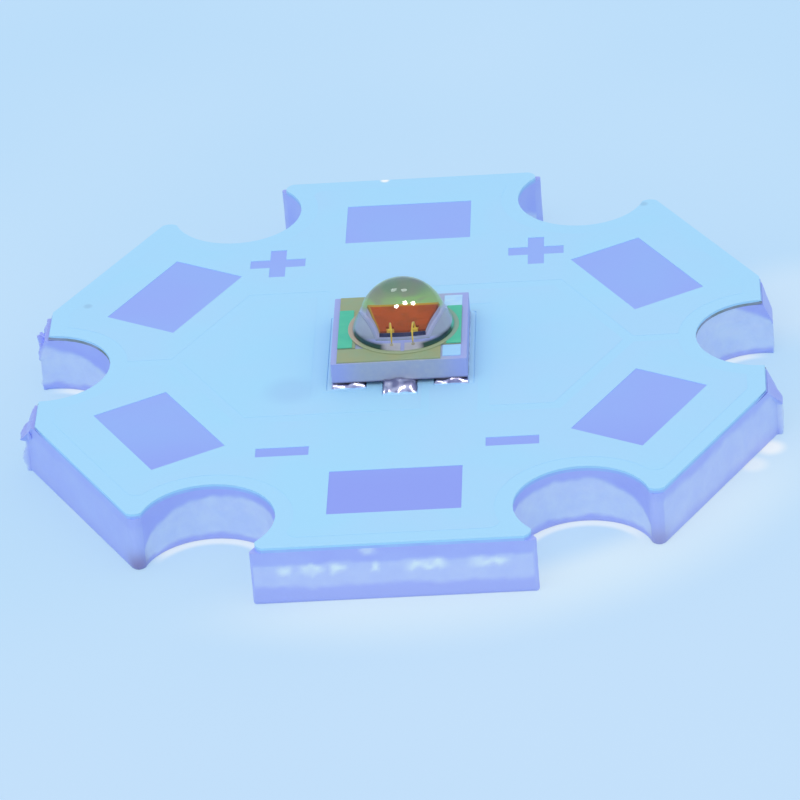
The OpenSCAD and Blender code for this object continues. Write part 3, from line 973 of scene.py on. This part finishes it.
# %% Ceramic
dome_low, dome_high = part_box("lens_dome")
dome_x = (dome_low.x + dome_high.x) / 2
skirt_radius = (dome_high.x - dome_low.x) / 2


def dome_distance(tree):
    """Distance of a surface point from the dome's axis."""
    x, y = axes(tree)[:2]
    return span(tree, calc(tree, "SUBTRACT", x, dome_x), y)


ceramic_finish, tree, shader = finish("ceramic", 0.55)
ceramic_tone = ramp(tree, patches(tree, 0.12 * MM), (0.3, tone(158, 173, 205)), (0.7, tone(168, 181, 205)))
# painted reflection: bluer towards both ends
mask_reflection_share = rise(tree, calc(tree, "ABSOLUTE", axes(tree)[0]), 0.8 * MM, 1.65 * MM)
ceramic_tone = blend(tree, times(tree, mask_reflection_share, 0.7), ceramic_tone, tone(154, 170, 244))
# painted light: paler under the dome
under_dome = rise(tree, dome_distance(tree), 1.3 * MM, 1.25 * MM)
at_front = rise(tree, axes(tree)[1], -0.45 * MM, -0.6 * MM)
under_dome_light_tone = blend(tree, at_front, tone(168, 181, 198), tone(180, 188, 236))
ceramic_tone = blend(tree, under_dome, ceramic_tone, under_dome_light_tone)
# painted shade: darkest along the lower edge
shaded_low_edge = rise(tree, axes(tree)[2], 1.76 * MM, 1.70 * MM)
paint(tree, shader, blend(tree, shaded_low_edge, ceramic_tone, tone(112, 118, 160)))
grain(tree, shader, 0.02 * MM, 0.001 * MM)
wear("ceramic_substrate", ceramic_finish)
weld("ceramic_substrate")
soft_edge = soften("ceramic_substrate", "soft_edge", 0.025 * MM, 50)
print("ceramic edge in mm:", round(soft_edge.width / MM, 3))

# %% [markdown]
# The package's metal
#
# On the ceramic lie two olive metal plates. Seen through the dome the plate behind the chip is greener, and
# darker towards the dome's back, while the strips beside and in front of the chip are pale. The dome alone
# would bend the view but not tint it so much, so these tones are painted on the plates by place: the pale
# strips as painted light, the darkening towards the back as painted shade. Green coats cover the filled
# holes, and two pale marks sit in the right corners. They are flat, so the imported nodes stay.

# %% Olive plates
plate_finish, tree, shader = finish("olive_plate", 0.5, 0.2)
plate_y = axes(tree)[1]
olive = ramp(tree, patches(tree, 0.5 * MM), (0.3, tone(152, 176, 140)), (0.7, tone(166, 172, 128)))
# painted shade: the green darkens towards the dome's back
green = ramp(tree, calc(tree, "DIVIDE", plate_y, 1 * MM),
             (0.86, tone(152, 194, 116)), (0.95, tone(128, 162, 120)))
dull = ramp(tree, patches(tree, 0.16 * MM, 1.0), (0.45, (0, 0, 0, 1)), (0.65, (0.7, 0.7, 0.7, 1)))
green = blend(tree, dull, green, tone(152, 150, 126))
under_dome = rise(tree, dome_distance(tree), 1.25 * MM, 1.15 * MM)
behind = times(tree, rise(tree, plate_y, 0.5 * MM, 0.6 * MM), under_dome)
beside = times(tree, rise(tree, calc(tree, "ABSOLUTE", plate_y), 0.7 * MM, 0.55 * MM), under_dome)
in_front = times(tree, rise(tree, plate_y, -0.6 * MM, -0.75 * MM), under_dome)
# painted light: pale strips beside and in front of the chip, under the dome
plate_tone = blend(tree, beside, blend(tree, behind, olive, green), tone(180, 190, 214))
paint(tree, shader, blend(tree, in_front, plate_tone, tone(214, 210, 214)))
grain(tree, shader, 0.03 * MM, 0.001 * MM)
for name in ("anode_plate", "cathode_plate"):
    wear(name, plate_finish)
print("finish:", plate_finish.name)

# %% Coats, marks and contacts
coat_finish = mottled("green_coat", 0.35, 0.0, 0.4 * MM, tone(66, 192, 160), tone(84, 202, 164))
wear("via_coats", coat_finish)

mark_finish, tree, shader = finish("pale_mark", 0.6)
chalk = ramp(tree, patches(tree, 0.2 * MM), (0.3, tone(166, 214, 255)), (0.7, tone(182, 226, 255)))
front_mark = times(tree, calc(tree, "LESS_THAN", axes(tree)[1], 0.0), 0.8)
paint(tree, shader, blend(tree, front_mark, chalk, tone(154, 210, 255)))
wear("corner_marks", mark_finish)

contact_finish = mottled("contact_metal", 0.35, 1.0, 0.3 * MM, tone(190, 180, 150), tone(210, 200, 172))
for name in ("anode_contact", "cathode_contact", "thermal_contact", "anode_vias", "cathode_vias"):
    wear(name, contact_finish)
print("finish:", coat_finish.name, mark_finish.name, contact_finish.name)

# %% [markdown]
# Chip, bonding metal and orange layer
#
# The chip is a thin plate, bonded down with pale metal. Its front face is dark, its sides are painted pale
# like the dome's lavender flank, as a painted reflection, and its top is gold where the wires start, in two
# small windows of the layer above it. That layer is fine orange powder in resin, browner in patches, and thin
# and yellow along its back and left edges. All three are plain plates, so the imported nodes stay, and each
# face is told apart by where it lies on the chip.

# %% Chip finishes
chip_low, chip_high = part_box("led_chip")
attach_finish = mottled("pale_bond", 0.4, 0.3, 0.1 * MM, tone(190, 196, 226), tone(204, 204, 220))
wear("die_attach", attach_finish)

chip_finish, tree, shader = finish("chip", 0.3)
dark = ramp(tree, patches(tree, 0.15 * MM), (0.3, tone(34, 40, 74)), (0.7, tone(54, 62, 96)))
aside = calc(tree, "ABSOLUTE", calc(tree, "SUBTRACT", axes(tree)[0], dome_x))
on_side = calc(tree, "GREATER_THAN", aside, chip_high.x - dome_x - 0.002 * MM)
on_top = calc(tree, "GREATER_THAN", axes(tree)[2], chip_high.z - 0.002 * MM)
# painted reflection: the sides take the pale tone of the dome's flank
chip_tone = blend(tree, on_side, dark, tone(196, 190, 206))
paint(tree, shader, blend(tree, on_top, chip_tone, tone(214, 180, 40)))
wear("led_chip", chip_finish)
print("finish:", attach_finish.name, chip_finish.name)

# %% Orange layer
powder_finish, tree, shader = finish("orange_powder", 0.75, Specular_IOR_Level=0.2)
grains = ramp(tree, patches(tree, 0.012 * MM), (0.35, tone(156, 64, 0)), (0.65, tone(176, 80, 4)))
browned = ramp(tree, patches(tree, 0.2 * MM, 1.0), (0.45, (0, 0, 0, 1)), (0.7, (0.7, 0.7, 0.7, 1)))
orange = blend(tree, browned, grains, tone(138, 66, 0))
powder_x, powder_y = axes(tree)[:2]
back_rim = rise(tree, powder_y, chip_high.y - 0.06 * MM, chip_high.y - 0.03 * MM)
left_rim = rise(tree, powder_x, chip_low.x + 0.03 * MM, chip_low.x + 0.01 * MM)
rim_share = times(tree, calc(tree, "MAXIMUM", back_rim, left_rim), 0.8)
paint(tree, shader, blend(tree, rim_share, orange, tone(186, 158, 40)))
grain(tree, shader, 0.014 * MM, 0.004 * MM)
wear("conversion_layer", powder_finish)
print("finish:", powder_finish.name)

# %% [markdown]
# The dome
#
# The dome is clear silicone, moulded straight onto the plates. It could be half a ball, but the real one has
# a low foot, a straight flank and a round crown that the flank touches without a kink, so a profile with
# those three is turned on the lathe. Light must pass from the silicone into the plates with no air between,
# so the visible dome reaches a hair below their top faces.

# %% Profile of the dome
crown_z = dome_high.z
skirt_z = dome_low.z
dome_radius = 1.12 * MM
foot_radius = 1.3 * MM
foot_height = 0.07 * MM
skirt_height = 0.03 * MM
sunk = 0.035 * MM
dome_z = crown_z - dome_radius
foot_drop = dome_z - skirt_z - foot_height
touch = math.acos(dome_radius / math.hypot(foot_radius, foot_drop)) - math.atan2(foot_drop, foot_radius)
crown_steps = 60
soft_steps = 5


def softened(points, cut):
    """The line with each inner corner replaced by a small curve that starts this far from it."""
    made = [points[0]]
    for before, corner, after in zip(points, points[1:], points[2:]):
        near = min(cut, (corner - before).length * 0.45, (after - corner).length * 0.45)
        start = corner + (before - corner).normalized() * near
        end = corner + (after - corner).normalized() * near
        made += [curved(start, corner, end, index / soft_steps) for index in range(soft_steps + 1)]
    return made + [points[-1]]


lifts = [touch + (math.pi / 2 - touch) * index / crown_steps for index in range(crown_steps + 1)]
crown = [Vector((dome_radius * math.cos(lift), 0, dome_z + dome_radius * math.sin(lift))) for lift in lifts]
crown[-1].x = 0
foot_line = [Vector((0, 0, skirt_z - sunk)),
             Vector((foot_radius, 0, skirt_z - sunk)),
             Vector((foot_radius, 0, skirt_z + foot_height)),
             crown[0]]
dome_profile = softened(foot_line, 0.03 * MM) + crown[1:]
print("profile points:", len(dome_profile))

# %% [markdown]
# The dome's finish
#
# At the left and right of the dome's front, its foot bends the view so far that it shows dark green. Clear
# glass over the real plates would only hint at that, so two arcs are tinted dark green as painted shade, by
# height and by bearing from the front. A very low wave in the surface makes the glints less than perfect.

# %% Dome
turn_steps = 144


def turned(name, profile, material):
    """A closed mesh turned around the dome's axis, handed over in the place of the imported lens."""
    data = shaped(lathe, profile, Profile_points=len(profile), Steps_around=turn_steps, Finish=material)
    data.transform(Matrix.Translation((dome_x, 0, 0)))
    face_outwards(data)
    return hand_over(name, data, material, "lens_dome")


lens_finish, tree, shader = finish("clear_silicone", 0.0, Transmission_Weight=1.0, IOR=1.46)
lens_x, lens_y, lens_z = axes(tree)
aside = calc(tree, "ABSOLUTE", calc(tree, "SUBTRACT", lens_x, dome_x))
bearing = calc(tree, "ARCTAN2", aside, times(tree, lens_y, -1.0))
arc_start, arc_full, arc_fade, arc_end = (math.radians(value) for value in (16, 26, 72, 84))
arc_low, arc_high = skirt_z + 0.13 * MM, skirt_z + 0.22 * MM
shaded_arc_share = times(tree, rise(tree, bearing, arc_start, arc_full), rise(tree, bearing, arc_end, arc_fade),
                  rise(tree, lens_z, arc_high, arc_low))
# painted shade: two dark green arcs in the dome's foot
paint(tree, shader, blend(tree, shaded_arc_share, tone(250, 252, 250), tone(12, 50, 28)))
grain(tree, shader, 0.5 * MM, 0.0004 * MM, 0.0)
dome = turned("dome", dome_profile, lens_finish)
dome_light.objects.link(dome)
print("dome faces:", len(dome.data.polygons))

# %% [markdown]
# The skirt
#
# Silicone also crept out under the mould as a thin, slightly milky skirt around the foot. It could be part
# of the dome's profile, but clear glass wouldn't look milky, so it is a ring of its own, turned on the same
# lathe. It looks tan at the left, greenish at the right, and olive like the plates between them.

# %% Skirt
skirt_finish, tree, shader = finish("milky_skirt", 0.5, Specular_IOR_Level=0.25)
aside = calc(tree, "SUBTRACT", axes(tree)[0], dome_x)
at_left, at_right = rise(tree, aside, -1.0 * MM, -1.2 * MM), rise(tree, aside, 1.0 * MM, 1.2 * MM)
skirt_tone = blend(tree, at_left, tone(154, 170, 138), tone(180, 168, 154))
paint(tree, shader, blend(tree, at_right, skirt_tone, tone(138, 172, 156)))
ring_in, ring_low, ring_high = foot_radius - 0.005 * MM, skirt_z - 0.01 * MM, skirt_z + skirt_height
ring_line = [Vector((ring_in, 0, ring_low)), Vector((skirt_radius, 0, ring_low)),
             Vector((skirt_radius, 0, ring_high)), Vector((ring_in, 0, ring_high)),
             Vector((ring_in, 0, ring_low))]
skirt = turned("skirt", softened(ring_line, 0.028 * MM), skirt_finish)
print("skirt faces:", len(skirt.data.polygons))

# %% [markdown]
# Bond wires
#
# Two gold wires as thin as a hair join the chip to the front plate. Each starts in a squashed ball on the
# chip, rises, loops over and comes down to the plate. A curve with a bevel could make them, but it wouldn't
# make the balls, so they come from the wire drawer. The path is half a circle with a straight leg.

# %% Bond wires
wire_finish, tree, shader = finish("gold_wire", 0.3, 0.1)
gold = ramp(tree, patches(tree, 0.05 * MM), (0.3, tone(250, 214, 60)), (0.7, tone(255, 232, 90)))
in_shade = rise(tree, axes(tree)[2], chip_high.z, chip_high.z - 0.06 * MM)
paint(tree, shader, blend(tree, in_shade, gold, tone(196, 186, 150)))
wire_radius = 0.02 * MM
ball_radius = 0.045 * MM
ball_height = 0.03 * MM
ball_top = chip_high.z + ball_height
loop_steps = 40
for name in ("bond_wire_left", "bond_wire_right"):
    wire_low, wire_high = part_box(name)
    middle_x = (wire_low.x + wire_high.x) / 2
    front = wire_low.y + ball_radius
    loop_radius = wire_high.z - wire_radius - ball_top
    route = []
    for index in range(loop_steps + 1):
        turn = math.pi * index / loop_steps
        route.append(Vector((middle_x, front + loop_radius * (1 + math.cos(turn)),
                             ball_top + loop_radius * math.sin(turn))))
    route.insert(0, Vector((middle_x, route[0].y, ball_top - ball_height * 0.5)))
    route.append(Vector((middle_x, front, wire_low.z + ball_height * 0.5)))
    wire_mesh = shaped(drawer, route, Wire_radius=wire_radius, Ball_radius=ball_radius,
                       Ball_height=ball_height, Finish=wire_finish)
    hand_over("drawn_" + name, wire_mesh, wire_finish, name)
    print(name, "faces:", len(wire_mesh.polygons))

# %% [markdown]
# Solder
#
# Solder climbs from the board to the package in three joints. It froze from a liquid, so it is smooth, lumpy
# and shiny. It could be sculpted, but a height over its land is enough: thin under the package, and a
# rounded, uneven heap where it comes out in front and behind. Beside the package it is only a thin film, and
# there and along its lower rim it is dull and takes on the mask's tone.

# %% Solder finish
shine, film_shine = 0.28, 0.35
package_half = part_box("ceramic_substrate")[1].y
solder_finish, tree, shader = finish("solder", shine, 1.0)
silver = ramp(tree, patches(tree, 0.24 * MM, 1.0), (0.4, tone(168, 162, 188)), (0.6, tone(222, 218, 234)))
beside = rise(tree, calc(tree, "ABSOLUTE", axes(tree)[0]), package_half, package_half + 0.03 * MM)
film_share = calc(tree, "MAXIMUM", beside, rise(tree, axes(tree)[2], 1.62 * MM, 1.59 * MM))
paint(tree, shader, blend(tree, film_share, silver, tone(176, 224, 255)))
fill(tree, shader.inputs["Roughness"], calc(tree, "MULTIPLY_ADD", film_share, film_shine, shine))
fill(tree, shader.inputs["Metallic"], calc(tree, "MULTIPLY_ADD", film_share, -0.8, 1.0))
grain(tree, shader, 0.25 * MM, 0.002 * MM, 0.0)
print("finish:", solder_finish.name)

# %% Height of the solder
solder_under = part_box("anode_contact")[0].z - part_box("anode_solder")[0].z
film_height = 0.03 * MM
least_height = 0.002 * MM


def solder_height(x, y, low, high, seed):
    """Height of a joint over its land at one point."""
    share = (x - low.x) / (high.x - low.x)
    rim = (1 - abs(2 * share - 1) ** 8) ** 0.5
    out = (abs(y) - package_half) / (high.y - package_half)
    if abs(x) > package_half:
        return max(least_height, film_height * rim)
    if out <= 0:
        return max(least_height, solder_under * rim)
    out /= 0.8 + 0.3 * rough(Vector((x, 0, seed * MM)), 0.3 * MM, seed)
    lump = min(1.0, 0.85 + 0.5 * rough(Vector((x, y, seed * MM)), 0.3 * MM, seed))
    heap = (high.z - low.z) * math.sqrt(max(0.0, 1 - out * out))
    return max(least_height, heap * lump * rim)


print("solder under the package in mm:", round(solder_under / MM, 3))

# %% Solder joints
heap_columns = 64
heap_rows = 120


def solder_joint(name, seed):
    """A lumpy joint over the land of one packed solder node: its top, its walls and its underside."""
    low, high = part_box(name)
    mesh = bmesh.new()
    grid = []
    for row in range(heap_rows + 1):
        y = low.y + (high.y - low.y) * row / heap_rows
        line = []
        for column in range(heap_columns + 1):
            x = low.x + (high.x - low.x) * column / heap_columns
            line.append(mesh.verts.new((x, y, low.z + solder_height(x, y, low, high, seed))))
        grid.append(line)
    for lower, upper in zip(grid, grid[1:]):
        for column in range(heap_columns):
            mesh.faces.new((lower[column], lower[column + 1], upper[column + 1], upper[column]))
    rim_edges = [edge for edge in mesh.edges if edge.is_boundary]
    wall = bmesh.ops.extrude_edge_only(mesh, edges=rim_edges)["geom"]
    for item in wall:
        if isinstance(item, bmesh.types.BMVert):
            item.co.z = low.z
    under = [item for item in wall if isinstance(item, bmesh.types.BMEdge) and item.is_boundary]
    bmesh.ops.contextual_create(mesh, geom=under)
    bmesh.ops.recalc_face_normals(mesh, faces=mesh.faces)
    return mesh


for seed, name in enumerate(("anode_solder", "thermal_solder", "cathode_solder"), start=2):
    joint = new_piece("lumpy_" + name, solder_joint(name, seed), solder_finish, name)
    print(joint.name, "faces:", len(joint.data.polygons))
